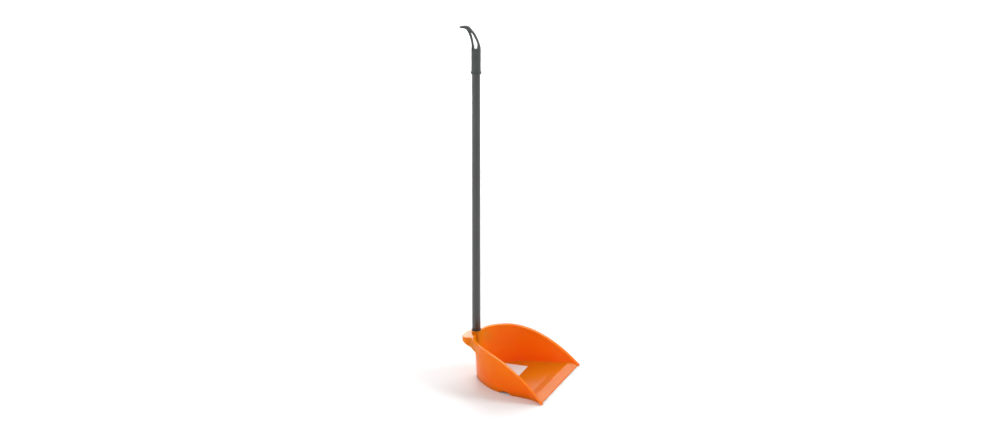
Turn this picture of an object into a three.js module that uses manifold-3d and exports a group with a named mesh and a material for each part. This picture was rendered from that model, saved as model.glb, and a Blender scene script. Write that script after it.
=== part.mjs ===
// A long-handled dustpan: one moulded plastic pan with a soft strip under its lip, and a painted steel
// tube that screws into the pan's socket and ends in a plastic cap with a hanging hook.
// Millimetres, +Z up. The mouth of the pan faces -Y. The origin is on the ground, under the pan's foot.
import * as THREE from "three";
import { mergeVertices } from "three/addons/utils/BufferGeometryUtils.js";
import Module from "manifold-3d";

const wasm = await Module();
wasm.setup();

// ---- Clearances ----
const SEAT_GAP = 0.3; // between two faces that rest on each other
const BORE_GAP = 0.4; // round the thread in the socket
const CUT = 1; // how far a cutter runs past the face that it opens

// ---- Pan ----
const LIP_TO_ORIGIN = 117; // the lip's front edge to the origin
const MOUTH_HALF = 126; // outer half width at the mouth
const MOUTH_AHEAD = 3; // how far the side walls reach in front of the lip
const RIM_REAR = 208; // back of the rim, behind the lip's front edge
const FOOT_REAR = RIM_REAR - 2.5; // back of the wall at the ground
const WALL = 2.3;
const RIM_TOP = 103; // height of the rim at the back
const RIM_TIP = 3; // height of the rim at the mouth's corners
const RIM_LEVEL_BACK = RIM_REAR - 11; // from here back the rim runs level
const RIM_POWER = 2.17; // how late the rim falls away towards the mouth
const FLANGE_WIDTH = 7;
const FLANGE_THICK = 2.2;
const FLANGE_END = RIM_REAR - 2; // where the flange has run out against the housing
const FLANGE_TAPER = 8; // the length over which it narrows there
const FLOOR_TOP = 10;
const FLOOR_THICK = 2.2;
const MOUTH_RUN = 40; // how far the inside of the wall is carried on in front of the lip and over the rim
const OUTLINE_STEPS = 56;

// ---- Lip and its ramp ----
const LIP_THICK = 1.4;
const LIP_RAISE = 1.1; // the lip's underside above the ground, which leaves room for the soft strip
const LIP_LAND = 3; // flat part of the lip's underside
const CREST_BACK = 19; // the ramp's crest behind the lip's front edge
const CREST_TOP = 11.5;
const VALLEY_BACK = 37; // where the slope behind the crest meets the floor
const RAMP_THICK = 2.6; // measured upright under the crest

// ---- Underside ----
const RIB_THICK = 2;
const RIB_BOTTOM = 1.5;
const RIB_TO_STRIP = 4;
const RIB_OFFSET = 58; // the side ribs' distance from the middle
const CROSS_RIB_BACKS = [60, 148]; // the cross ribs behind the lip
const FOOT_RADIUS = 11;
const ARCH_HEIGHT = 6;
const SIDE_ARCH_BACK = 101;
const SIDE_ARCH_LENGTH = 30;
const REAR_ARCH_SIDE = 30;
const REAR_ARCH_LENGTH = 10;

// ---- Socket and the housing round it ----
const HANDLE_BACK = RIM_REAR; // the handle's axis behind the lip's front edge
const SLEEVE_TOP = RIM_TOP + 7;
const SLEEVE_WALL = 1.8;
const HOUSING_TOP_FRONT = RIM_TOP; // its top plate falls from here, at the pan's wall
const HOUSING_TOP_REAR = RIM_TOP - 6;
const HOUSING_HALF = 33;
const HOUSING_REAR = HANDLE_BACK + 31; // its back behind the lip's front edge
const HOUSING_CORNER = 27;
const HOUSING_FLARE_HALF = 0.476 * MOUTH_HALF; // half width where its sides sweep out into the flange
const HOUSING_FLARE_BACK = RIM_REAR - 28; // that place, behind the lip's front edge
const HOUSING_SKIRT_REAR = RIM_TOP - 14; // height of the skirt's lower edge at the back
const HOUSING_SKIRT_FRONT = RIM_TOP - 26; // and at the pan's wall
const GUSSET_THICK = 2;

// ---- Handle ----
const TUBE_RADIUS = 10;
const TUBE_WALL = 0.6;
const TUBE_TOP = 806;
const COLLAR_HEIGHT = 4;
const COLLAR_RADIUS = TUBE_RADIUS + 0.8;
const PLUG_LENGTH = 24;
const SHANK_LENGTH = 36;
const SHANK_RADIUS = TUBE_RADIUS - 2.6;
const THREAD_CREST = SHANK_RADIUS + 1.4;
const THREAD_PITCH = 5;
const THREAD_TURNS = (SHANK_LENGTH - 8.5) / THREAD_PITCH;
const BORE_DEPTH = SHANK_LENGTH + 2;
const COLLAR_BOTTOM = SLEEVE_TOP + SEAT_GAP;
const TUBE_BOTTOM = COLLAR_BOTTOM + COLLAR_HEIGHT + SEAT_GAP;

// ---- Hanger cap ----
const CAP_RADIUS = TUBE_RADIUS + 1.2;
const CAP_BOTTOM = TUBE_TOP - 54;
const CAP_TOP = TUBE_TOP + 6; // top of its round part
const CAP_FLANGE_RADIUS = CAP_RADIUS + 1.6;
const CAP_FLANGE_HEIGHT = 4.5;
const DOME_FOOT = CAP_TOP - 2; // where the round part starts to close in
const DOME_RISE = 16;
const DOME_STEPS = 8;
const HOOK_THICK = 8; // across the pan
const HOOK_RISE = 54.5; // its top over the cap's round part
const HOOK_TIP_BACK = 40; // the tip behind the handle's axis
const HOOK_LEG = 3.6;

// ---- Soft strip and label ----
const STRIP_OUT = 5.5; // how far it stands out in front of the lip
const STRIP_THICK = 0.8;
const STRIP_TONGUE = 12; // how far it reaches under the ramp
const STRIP_SIDE_GAP = 0.5;
const LABEL_WIDTH = 0.92 * MOUTH_HALF;
const LABEL_LENGTH = 0.27 * RIM_REAR;
const LABEL_FRONT = 0.485 * RIM_REAR; // its front edge behind the lip's front edge
const LABEL_THICK = 0.3;

const lipY = -LIP_TO_ORIGIN;
const behindLip = (distance) => lipY + distance;

// ---- Solids: three.js geometry to manifold-3d and back ----
function solid(geometry) {
  const bare = geometry.clone();
  bare.deleteAttribute("normal");
  bare.deleteAttribute("uv");
  const merged = mergeVertices(bare, 1e-4);
  return new wasm.Manifold(
    new wasm.Mesh({
      numProp: 3,
      vertProperties: new Float32Array(merged.attributes.position.array),
      triVerts: new Uint32Array(merged.index.array),
    }),
  );
}

function geometryOf(manifold) {
  const mesh = manifold.getMesh();
  const geometry = new THREE.BufferGeometry();
  geometry.setAttribute("position", new THREE.BufferAttribute(mesh.vertProperties, 3));
  geometry.setIndex(new THREE.BufferAttribute(mesh.triVerts, 1));
  const flat = geometry.toNonIndexed();
  flat.computeVertexNormals();
  return flat;
}

function meshOf(name, manifold, look) {
  const mesh = new THREE.Mesh(geometryOf(manifold), new THREE.MeshStandardMaterial(look));
  mesh.name = name;
  return mesh;
}

// A side view, drawn as (distance towards +Y, height), run across from -halfWidth to +halfWidth.
function across(shape, halfWidth, curveSegments) {
  const geometry = new THREE.ExtrudeGeometry(shape, {
    depth: 2 * halfWidth,
    bevelEnabled: false,
    curveSegments,
  });
  geometry.applyMatrix4(
    new THREE.Matrix4().makeBasis(
      new THREE.Vector3(0, 1, 0),
      new THREE.Vector3(0, 0, 1),
      new THREE.Vector3(1, 0, 0),
    ),
  );
  geometry.translate(-halfWidth, 0, 0);
  return solid(geometry);
}

// The same, with distances measured from the lip's front edge.
function acrossPan(points, halfWidth) {
  return across(new THREE.Shape(points), halfWidth, 1).translate(0, lipY, 0);
}

function acrossHandle(shape, halfWidth) {
  return across(shape, halfWidth, 5);
}

function upright(shape, bottom, top) {
  const geometry = new THREE.ExtrudeGeometry(shape, {
    depth: top - bottom,
    bevelEnabled: false,
    curveSegments: 12,
  });
  geometry.translate(0, 0, bottom);
  return solid(geometry);
}

function box(width, length, height, x, y, z) {
  const geometry = new THREE.BoxGeometry(width, length, height);
  geometry.translate(x, y, z);
  return solid(geometry);
}

function turned(profile, segments) {
  const points = profile.map(([radius, height]) => new THREE.Vector2(radius, height));
  const geometry = new THREE.LatheGeometry(points, segments);
  geometry.rotateX(Math.PI / 2);
  return solid(geometry);
}

// ---- Plan outlines of the pan ----
// The wall's outer face from the mouth to its back: half width as a share of the mouth's, and distance behind
// the lip as a share of the back's.
function planOutline(shares, rear) {
  const stations = shares.map(([half, back]) => [half * MOUTH_HALF, back * rear]);
  return [[MOUTH_HALF, -MOUTH_AHEAD], ...stations, [0, rear]];
}

const FOOTPRINT = planOutline(
  [[0.849, 0.18], [0.81, 0.331], [0.746, 0.521], [0.651, 0.667], [0.484, 0.803], [0.206, 0.954]],
  FOOT_REAR,
);
const RIM_PLAN = planOutline(
  [[0.929, 0.202], [0.825, 0.49], [0.71, 0.683], [0.563, 0.822], [0.437, 0.904], [0.278, 0.966]],
  RIM_REAR,
);

// The outline from the right corner of the mouth round the back to the left one, moved outwards by
// growAt(y).
function outline(stations, growAt) {
  const right = stations.map(([half, back]) => new THREE.Vector3(half, behindLip(back), 0));
  const left = right.slice(0, -1).map((point) => new THREE.Vector3(-point.x, point.y, 0));
  const curve = new THREE.CatmullRomCurve3([...right, ...left.reverse()], false, "centripetal");
  return Array.from({ length: OUTLINE_STEPS + 1 }, (_, i) => {
    const point = curve.getPointAt(i / OUTLINE_STEPS);
    const along = curve.getTangentAt(i / OUTLINE_STEPS);
    const grow = growAt(point.y);
    return new THREE.Vector2(point.x + along.y * grow, point.y - along.x * grow);
  });
}

// Carries an open outline straight forward, so that what it cuts or fills runs past the lip.
function runForward(points, distance) {
  const first = points[0];
  const last = points[points.length - 1];
  return [
    new THREE.Vector2(first.x, lipY - distance),
    ...points,
    new THREE.Vector2(last.x, lipY - distance),
  ];
}

function rimHeight(y) {
  const share = THREE.MathUtils.clamp((behindLip(RIM_LEVEL_BACK) - y) / RIM_LEVEL_BACK, 0, 1);
  return RIM_TIP + (RIM_TOP - RIM_TIP) * (1 - share ** RIM_POWER);
}

// A closed body through rings of points, each ring a plan outline with its own height at each y. Point i
// of a ring and point i from its end mirror each other, so the end faces are strips that run across.
function loft(rings) {
  const count = rings[0].points.length;
  const positions = rings.flatMap(({ points, height }) => points.flatMap((p) => [p.x, p.y, height(p.y)]));
  const index = [];
  const quad = (a, b, c, d) => index.push(a, b, c, a, c, d);
  for (let ring = 0; ring + 1 < rings.length; ring++) {
    const low = ring * count;
    const high = low + count;
    for (let i = 0; i < count; i++) {
      const next = (i + 1) % count;
      quad(low + i, low + next, high + next, high + i);
    }
  }
  const top = (rings.length - 1) * count;
  for (let i = 0; 2 * (i + 1) < count - 1; i++) {
    const j = count - 1 - i;
    quad(i, j, j - 1, i + 1);
    quad(top + i, top + i + 1, top + j - 1, top + j);
  }
  const middle = (count - 1) / 2;
  index.push(middle - 1, middle + 1, middle);
  index.push(top + middle - 1, top + middle, top + middle + 1);
  const geometry = new THREE.BufferGeometry();
  geometry.setAttribute("position", new THREE.BufferAttribute(new Float32Array(positions), 3));
  geometry.setIndex(index);
  return solid(geometry);
}

const flat = (height) => () => height;

function flangeWidth(y) {
  return FLANGE_WIDTH * THREE.MathUtils.clamp((behindLip(FLANGE_END) - y) / FLANGE_TAPER, 0, 1);
}

// ---- Pan ----
// Everything inside the wall, `inset` in from its outer face, from under the pan to above its rim, and open
// at the mouth.
function insideOfWall(inset) {
  const foot = runForward(outline(FOOTPRINT, flat(-inset)), MOUTH_RUN);
  const rim = runForward(outline(RIM_PLAN, flat(-inset)), MOUTH_RUN);
  return loft([
    { points: foot, height: flat(-CUT) },
    { points: foot, height: flat(0) },
    { points: rim, height: rimHeight },
    { points: rim, height: (y) => rimHeight(y) + MOUTH_RUN },
  ]);
}

// The upper surface of lip, ramp and floor, front to back, as (distance behind the lip, height).
const LIP_TOP = LIP_RAISE + LIP_THICK;
const UPPER_LINE = [
  [-MOUTH_RUN, LIP_RAISE / 2],
  [0, LIP_RAISE / 2],
  [0, LIP_TOP],
  [CREST_BACK, CREST_TOP],
  [(CREST_BACK + VALLEY_BACK) / 2, (CREST_TOP + FLOOR_TOP) / 2],
  [VALLEY_BACK, FLOOR_TOP],
  [RIM_REAR + MOUTH_RUN, FLOOR_TOP],
];
const UNDER_LINE = [
  [-MOUTH_RUN, LIP_RAISE],
  [LIP_LAND, LIP_RAISE],
  [CREST_BACK, CREST_TOP - RAMP_THICK],
  [VALLEY_BACK, FLOOR_TOP - FLOOR_THICK],
  [RIM_REAR + MOUTH_RUN, FLOOR_TOP - FLOOR_THICK],
];

function side(points) {
  return points.map(([distance, height]) => new THREE.Vector2(distance, height));
}

function aboveFloor() {
  const high = RIM_TOP + 2 * MOUTH_RUN;
  const back = RIM_REAR + MOUTH_RUN;
  return acrossPan(side([...UPPER_LINE, [back, high], [-MOUTH_RUN, high]]), 2 * MOUTH_HALF);
}

// Everything under the floor's lower surface, or under a surface that lies `raise` above it.
function underFloor(raise) {
  const back = RIM_REAR + MOUTH_RUN;
  const line = UNDER_LINE.map(([distance, height]) => [distance, height + raise]).reverse();
  return acrossPan(side([[-MOUTH_RUN, -MOUTH_RUN], [back, -MOUTH_RUN], ...line]), 2 * MOUTH_HALF);
}

function flange() {
  const edge = outline(RIM_PLAN, flangeWidth);
  return loft([
    { points: edge, height: (y) => rimHeight(y) - FLANGE_THICK },
    { points: edge, height: rimHeight },
  ]);
}

// Half an ellipse standing on the ground, as long as `length` and as high as the arches.
function archShape(length, centre) {
  const shape = new THREE.Shape();
  shape.moveTo(centre + length / 2, -CUT);
  shape.lineTo(centre + length / 2, 0);
  shape.absellipse(centre, 0, length / 2, ARCH_HEIGHT, 0, Math.PI, false);
  shape.lineTo(centre - length / 2, -CUT);
  return shape;
}

function arches() {
  const sides = acrossPan(archShape(SIDE_ARCH_LENGTH, SIDE_ARCH_BACK).getPoints(10), 2 * MOUTH_HALF);
  const rear = [-1, 1].map((way) => {
    const geometry = new THREE.ExtrudeGeometry(archShape(REAR_ARCH_LENGTH, way * REAR_ARCH_SIDE), {
      depth: FOOT_REAR / 2,
      bevelEnabled: false,
      curveSegments: 8,
    });
    geometry.rotateX(Math.PI / 2);
    geometry.translate(0, behindLip(FOOT_REAR + CUT), 0);
    return solid(geometry);
  });
  return rear.reduce((all, arch) => all.add(arch), sides);
}

// Long ribs, cross ribs and the round foot under the floor.
function underside() {
  const ribTop = CREST_TOP;
  const ribHeight = ribTop - RIB_BOTTOM;
  const ribMiddle = RIB_BOTTOM + ribHeight / 2;
  const ribFront = STRIP_TONGUE + RIB_TO_STRIP;
  const length = FOOT_REAR - ribFront;
  const long = [-RIB_OFFSET, 0, RIB_OFFSET].map((x) =>
    box(RIB_THICK, length, ribHeight, x, behindLip(ribFront + length / 2), ribMiddle),
  );
  const cross = CROSS_RIB_BACKS.map((back) =>
    box(2 * MOUTH_HALF, RIB_THICK, ribHeight, 0, behindLip(back), ribMiddle),
  );
  const foot = turned([[0, 0], [FOOT_RADIUS, 0], [FOOT_RADIUS, ribTop], [0, ribTop]], 24);
  const all = [...long, ...cross, foot].reduce((sum, piece) => sum.add(piece));
  return all.intersect(insideOfWall(WALL / 2)).intersect(underFloor(FLOOR_THICK / 2));
}

// The plan of the housing: its sides sweep in from the flange to a rounded back, all smaller by `shrink`.
function housingPlan(shrink) {
  const half = HOUSING_HALF - shrink;
  const rear = behindLip(HOUSING_REAR - shrink);
  const corner = HOUSING_CORNER - shrink;
  const flareHalf = HOUSING_FLARE_HALF - shrink;
  const flareFront = behindLip(HOUSING_FLARE_BACK);
  const shape = new THREE.Shape();
  shape.moveTo(-flareHalf, flareFront);
  shape.lineTo(flareHalf, flareFront);
  shape.quadraticCurveTo(half, behindLip(HANDLE_BACK), half, rear - corner);
  shape.absarc(half - corner, rear - corner, corner, 0, Math.PI / 2, false);
  shape.absarc(-half + corner, rear - corner, corner, Math.PI / 2, Math.PI, false);
  shape.quadraticCurveTo(-half, behindLip(HANDLE_BACK), -flareHalf, flareFront);
  return shape;
}

// Everything under a sloping plane that has one height at the pan's wall and another at the housing's back.
function underSlope(frontHeight, rearHeight) {
  const slope = (rearHeight - frontHeight) / (HOUSING_REAR - FOOT_REAR);
  const front = HOUSING_FLARE_BACK - CUT;
  const back = HOUSING_REAR + CUT;
  return acrossPan(
    side([
      [front, -2 * CUT],
      [back, -2 * CUT],
      [back, rearHeight + slope * (back - HOUSING_REAR)],
      [front, frontHeight - slope * (FOOT_REAR - front)],
    ]),
    MOUTH_HALF,
  );
}

function housing() {
  const shell = upright(housingPlan(0), -CUT, 2 * RIM_TOP).intersect(
    underSlope(HOUSING_TOP_FRONT, HOUSING_TOP_REAR),
  );
  const hollow = upright(housingPlan(WALL), -CUT, 2 * RIM_TOP).intersect(
    underSlope(HOUSING_TOP_FRONT - WALL, HOUSING_TOP_REAR - WALL),
  );
  const gussetDepth = HOUSING_REAR - WALL / 2 - HANDLE_BACK;
  const gussetTop = HOUSING_TOP_REAR - WALL / 2;
  const gusset = box(
    GUSSET_THICK,
    gussetDepth,
    gussetTop,
    0,
    behindLip(HANDLE_BACK + gussetDepth / 2),
    gussetTop / 2,
  );
  const below = underSlope(HOUSING_SKIRT_FRONT, HOUSING_SKIRT_REAR);
  return shell.subtract(hollow).add(gusset).subtract(below);
}

function sleeve() {
  const outer = THREAD_CREST + BORE_GAP + SLEEVE_WALL;
  const bottom = SLEEVE_TOP - BORE_DEPTH - SLEEVE_WALL;
  const body = turned(
    [
      [0, bottom - outer / 2],
      [outer / 2, bottom - outer / 2],
      [outer, bottom],
      [outer, SLEEVE_TOP],
      [0, SLEEVE_TOP],
    ],
    32,
  );
  return body.translate(0, behindLip(HANDLE_BACK), 0);
}

function bore() {
  const radius = THREAD_CREST + BORE_GAP;
  const bottom = SLEEVE_TOP - BORE_DEPTH;
  const hole = turned([[0, bottom], [radius, bottom], [radius, SLEEVE_TOP + CUT], [0, SLEEVE_TOP + CUT]], 32);
  return hole.translate(0, behindLip(HANDLE_BACK), 0);
}

function pan() {
  const inside = insideOfWall(WALL);
  const body = loft([
    { points: outline(FOOTPRINT, flat(0)), height: flat(0) },
    { points: outline(RIM_PLAN, flat(0)), height: (y) => rimHeight(y) - FLANGE_THICK / 2 },
  ]);
  const cavity = inside.intersect(aboveFloor());
  const recess = inside.intersect(underFloor(0));
  return body
    .add(flange())
    .add(housing())
    .subtract(recess)
    .subtract(arches())
    .add(underside())
    .subtract(cavity)
    .add(sleeve())
    .subtract(bore());
}

// ---- Soft strip and label ----
function softStrip() {
  const rise = (CREST_TOP - RAMP_THICK - LIP_RAISE) / (CREST_BACK - LIP_LAND);
  const top = LIP_RAISE - SEAT_GAP;
  const tongueRise = rise * (STRIP_TONGUE - LIP_LAND);
  const profile = acrossPan(
    side([
      [-STRIP_OUT, 0],
      [LIP_LAND, 0],
      [STRIP_TONGUE, tongueRise + top - STRIP_THICK],
      [STRIP_TONGUE, tongueRise + top],
      [LIP_LAND, top],
      [-STRIP_OUT + STRIP_THICK, top],
      [-STRIP_OUT, STRIP_THICK / 2],
    ]),
    MOUTH_HALF,
  );
  return profile.intersect(insideOfWall(WALL + STRIP_SIDE_GAP));
}

function label() {
  const middle = behindLip(LABEL_FRONT + LABEL_LENGTH / 2);
  return box(LABEL_WIDTH, LABEL_LENGTH, LABEL_THICK, 0, middle, FLOOR_TOP + SEAT_GAP + LABEL_THICK / 2);
}

// ---- Handle, with its axis on x = y = 0 ----

function tube() {
  const inner = TUBE_RADIUS - TUBE_WALL;
  return turned(
    [
      [inner, TUBE_BOTTOM],
      [TUBE_RADIUS, TUBE_BOTTOM],
      [TUBE_RADIUS, TUBE_TOP],
      [inner, TUBE_TOP],
      [inner, TUBE_BOTTOM],
    ],
    32,
  );
}

class Helix extends THREE.Curve {
  constructor(radius, pitch, turns) {
    super();
    this.radius = radius;
    this.pitch = pitch;
    this.turns = turns;
  }
  getPoint(share, target = new THREE.Vector3()) {
    const angle = 2 * Math.PI * this.turns * share;
    return target.set(
      this.radius * Math.cos(angle),
      this.radius * Math.sin(angle),
      this.pitch * this.turns * share,
    );
  }
}

function ferrule() {
  const plug = TUBE_RADIUS - TUBE_WALL - SEAT_GAP;
  const collarTop = COLLAR_BOTTOM + COLLAR_HEIGHT;
  const shankBottom = COLLAR_BOTTOM - SHANK_LENGTH;
  const body = turned(
    [
      [0, shankBottom],
      [SHANK_RADIUS - CUT, shankBottom],
      [SHANK_RADIUS, shankBottom + CUT],
      [SHANK_RADIUS, COLLAR_BOTTOM],
      [COLLAR_RADIUS, COLLAR_BOTTOM],
      [COLLAR_RADIUS, collarTop],
      [plug, collarTop],
      [plug, collarTop + PLUG_LENGTH],
      [0, collarTop + PLUG_LENGTH],
    ],
    32,
  );
  const ridge = THREAD_CREST - SHANK_RADIUS;
  const section = new THREE.Shape().absarc(0, 0, ridge, 0, 2 * Math.PI, false);
  const thread = new THREE.ExtrudeGeometry(section, {
    steps: Math.round(THREAD_TURNS * 16),
    curveSegments: 3,
    extrudePath: new Helix(SHANK_RADIUS, THREAD_PITCH, THREAD_TURNS),
  });
  thread.translate(0, 0, shankBottom + 2 * ridge);
  return body.add(solid(thread));
}

// The hook in side view, as (distance behind the axis, height over the cap's round part): its rear edge up to
// the tip, its front edge back down, and the opening between its two legs.
const HOOK_REAR = [
  [CAP_RADIUS - 1.6, -4],
  [CAP_RADIUS - 1, 6],
  [11.8, 19.5],
  [18.5, 39],
  [25, 47],
  [HOOK_TIP_BACK, 47.5],
];
const HOOK_FRONT = [
  [HOOK_TIP_BACK, 51.5],
  [27, HOOK_RISE],
  [18, 53.5],
  [11, 46.5],
  [3.8, 38.3],
  [-5.9, 19.6],
  [-CAP_RADIUS + 1.2, 6],
  [-CAP_RADIUS + 1.6, -4],
];
const OPENING_REAR = [
  [6.8, -3],
  [CAP_RADIUS - 1 - HOOK_LEG, 9.5],
  [14.3 - HOOK_LEG, 29.5],
  [16.5, 44.5],
];
const OPENING_FRONT = [
  [4 + HOOK_LEG, 38],
  [-1.2 + HOOK_LEG, 29],
  [-5.9 + HOOK_LEG, 19.6],
  [-8.4 + HOOK_LEG, 10],
  [-5.4, 4.5],
];

function vectors(points) {
  return points.map(([x, y]) => new THREE.Vector2(x, y));
}

// Two smooth edges, joined by straight lines at their ends, raised by `lift`.
function smoothShape(first, second, lift) {
  const raised = (points) => points.map(([x, y]) => [x, y + lift]);
  const [start, ...there] = raised(first);
  const [turn, ...back] = raised(second);
  const shape = new THREE.Shape();
  shape.moveTo(...start);
  shape.splineThru(vectors(there));
  shape.lineTo(...turn);
  shape.splineThru(vectors(back));
  return shape;
}

function hangerCap() {
  const seat = TUBE_RADIUS + SEAT_GAP;
  const seatTop = TUBE_TOP + SEAT_GAP;
  const dome = Array.from({ length: DOME_STEPS + 1 }, (_, i) => {
    const share = i / DOME_STEPS;
    return [CAP_RADIUS * Math.sqrt(1 - share ** 3), DOME_FOOT + DOME_RISE * share];
  });
  const body = turned(
    [
      [0, CAP_BOTTOM],
      [CAP_FLANGE_RADIUS, CAP_BOTTOM],
      [CAP_FLANGE_RADIUS, CAP_BOTTOM + CAP_FLANGE_HEIGHT],
      [CAP_RADIUS, CAP_BOTTOM + CAP_FLANGE_HEIGHT + CUT],
      ...dome,
    ],
    32,
  );
  const hook = acrossHandle(smoothShape(HOOK_REAR, HOOK_FRONT, CAP_TOP), HOOK_THICK / 2);
  const opening = acrossHandle(smoothShape(OPENING_REAR, OPENING_FRONT, CAP_TOP), 2 * CAP_RADIUS);
  const seatFoot = CAP_BOTTOM - CUT;
  const tubeSeat = turned([[0, seatFoot], [seat, seatFoot], [seat, seatTop], [0, seatTop]], 32);
  return body.add(hook).subtract(opening).subtract(tubeSeat);
}

// ---- Assembly ----
const ORANGE = { color: 0xf36a1c, roughness: 0.3, metalness: 0 };
const TUBE_GREY = { color: 0x575a5b, roughness: 0.35, metalness: 0.7 };
const CAP_GREY = { color: 0x55615d, roughness: 0.55, metalness: 0 };
const FERRULE_BLACK = { color: 0x1f2121, roughness: 0.6, metalness: 0 };
const STRIP_PALE = { color: 0xf1ece0, roughness: 0.5, metalness: 0 };
const LABEL_WHITE = { color: 0xf4eff0, roughness: 0.8, metalness: 0 };

const dustpan = new THREE.Group();

const panGroup = new THREE.Group();
panGroup.add(meshOf("pan", pan(), ORANGE));
panGroup.add(meshOf("soft_lip_strip", softStrip(), STRIP_PALE));
panGroup.add(meshOf("floor_label", label(), LABEL_WHITE));
dustpan.add(panGroup);

const handleGroup = new THREE.Group();
handleGroup.position.set(0, behindLip(HANDLE_BACK), 0);
handleGroup.add(meshOf("threaded_ferrule", ferrule(), FERRULE_BLACK));
handleGroup.add(meshOf("handle_tube", tube(), TUBE_GREY));
handleGroup.add(meshOf("hanger_cap", hangerCap(), CAP_GREY));
dustpan.add(handleGroup);

export default dustpan;
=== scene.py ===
"""The looks of a long-handled dustpan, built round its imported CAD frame.

The frame is in metres, +Z up, and the pan's mouth faces -Y. Shapes here are worked out in millimetres and
scaled when their meshes are made.
"""

import math

import bmesh
import bpy
import numpy as np
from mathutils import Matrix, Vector


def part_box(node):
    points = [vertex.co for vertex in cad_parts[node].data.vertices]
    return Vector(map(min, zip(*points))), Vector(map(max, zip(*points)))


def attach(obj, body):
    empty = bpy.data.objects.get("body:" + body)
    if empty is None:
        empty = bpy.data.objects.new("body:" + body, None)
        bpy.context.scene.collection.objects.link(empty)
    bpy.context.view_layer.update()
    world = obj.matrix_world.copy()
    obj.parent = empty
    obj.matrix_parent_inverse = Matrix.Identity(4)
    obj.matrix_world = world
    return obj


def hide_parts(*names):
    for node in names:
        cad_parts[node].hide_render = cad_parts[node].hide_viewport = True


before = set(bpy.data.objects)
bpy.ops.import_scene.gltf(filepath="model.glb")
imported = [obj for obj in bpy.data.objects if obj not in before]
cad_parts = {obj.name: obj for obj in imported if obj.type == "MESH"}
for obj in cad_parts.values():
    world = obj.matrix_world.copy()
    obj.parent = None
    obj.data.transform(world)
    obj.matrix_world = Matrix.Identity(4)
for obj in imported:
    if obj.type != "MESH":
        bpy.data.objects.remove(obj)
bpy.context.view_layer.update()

MM = 0.001


def box_mm(node):
    low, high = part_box(node)
    return np.array(low) / MM, np.array(high) / MM


PAN_LOW, PAN_HIGH = box_mm("pan")
TUBE_LOW, TUBE_HIGH = box_mm("handle_tube")
FERRULE_LOW, FERRULE_HIGH = box_mm("threaded_ferrule")
CAP_LOW, CAP_HIGH = box_mm("hanger_cap")
STRIP_LOW, STRIP_HIGH = box_mm("soft_lip_strip")
LABEL_LOW, LABEL_HIGH = box_mm("floor_label")

# ---- Pan: driving sizes ----
MOUTH_HALF = 126.0  # outer half width of the walls at the mouth
MOUTH_AHEAD = 3.0  # how far the walls reach in front of the lip
AXIS_Y = (TUBE_LOW[1] + TUBE_HIGH[1]) / 2
LIP_Y = PAN_LOW[1] + MOUTH_AHEAD
RIM_REAR = AXIS_Y - LIP_Y  # distances called "back" are measured behind the lip
FOOT_REAR = RIM_REAR - 2.5
SLEEVE_TOP = PAN_HIGH[2]
RIM_TOP = SLEEVE_TOP - 7.0
RIM_TIP = 3.0
RIM_LEVEL_BACK = RIM_REAR - 11.0
RIM_POWER = 2.17
WALL = 2.3
FLANGE_WIDTH = 7.0
FLANGE_THICK = 2.2
FLANGE_LEAST = 1.2  # what is left of it inside the housing
FLANGE_END = RIM_REAR - 2.0
FLANGE_TAPER = 8.0
STATIONS = 480  # along the outline, an even number

FLOOR_TOP = 10.0
FLOOR_THICK = 2.2
LIP_RAISE = 1.1
LIP_THICK = 1.4
LIP_LAND = 3.0
CREST_BACK = 19.0
CREST_TOP = 11.5
VALLEY_BACK = 37.0
RAMP_THICK = 2.6

ARCH_HEIGHT = 6.0
SIDE_ARCH_BACK = 101.0
SIDE_ARCH_HALF = 15.0
REAR_ARCH_SIDE = 30.0
REAR_ARCH_HALF = 5.0

HOUSING_HALF = 33.0
HOUSING_REAR = PAN_HIGH[1] - LIP_Y
HOUSING_CORNER = 27.0
HOUSING_FLARE_HALF = 0.476 * MOUTH_HALF
HOUSING_FLARE_BACK = RIM_REAR - 28.0
HOUSING_DROP = 6.0  # its top plate falls this far towards the back
HOUSING_SKIRT_FRONT = 26.0  # the skirt's lower edge under the rim, at the pan's wall
HOUSING_SKIRT_REAR = 14.0  # and at the back
HOUSING_ROUND = 1.6
SLEEVE_RADIUS = 11.0
BORE_RADIUS = 9.2
BORE_DEPTH = 38.0

# The wall's outer face from the mouth to its back: half width as a share of the mouth's, and distance behind
# the lip as a share of the back's.
FOOT_SHARES = ((0.849, 0.18), (0.81, 0.331), (0.746, 0.521), (0.651, 0.667), (0.484, 0.803), (0.206, 0.954))
RIM_SHARES = ((0.929, 0.202), (0.825, 0.49), (0.71, 0.683), (0.563, 0.822), (0.437, 0.904), (0.278, 0.966))


# ---- Mesh helpers ----
MERGE_METRES = 1e-7
SMOOTH_ANGLE = 32  # edges that bend by more than this many degrees stay sharp


def mesh_object(name, points, faces):
    mesh = bpy.data.meshes.new(name)
    mesh.from_pydata((np.asarray(points, float) * MM).tolist(), [], [list(face) for face in faces])
    built = bmesh.new()
    built.from_mesh(mesh)
    bmesh.ops.remove_doubles(built, verts=built.verts, dist=MERGE_METRES)
    bmesh.ops.recalc_face_normals(built, faces=built.faces)
    built.to_mesh(mesh)
    built.free()
    obj = bpy.data.objects.new(name, mesh)
    bpy.context.scene.collection.objects.link(obj)
    shade(obj, SMOOTH_ANGLE)
    return obj


def shade(obj, angle):
    obj.data.polygons.foreach_set("use_smooth", [True] * len(obj.data.polygons))
    obj.data.set_sharp_from_angle(angle=math.radians(angle))


def bake_modifiers(obj):
    depsgraph = bpy.context.evaluated_depsgraph_get()
    mesh = bpy.data.meshes.new_from_object(obj.evaluated_get(depsgraph))
    obj.modifiers.clear()
    old = obj.data
    obj.data = mesh
    bpy.data.meshes.remove(old)


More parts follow.
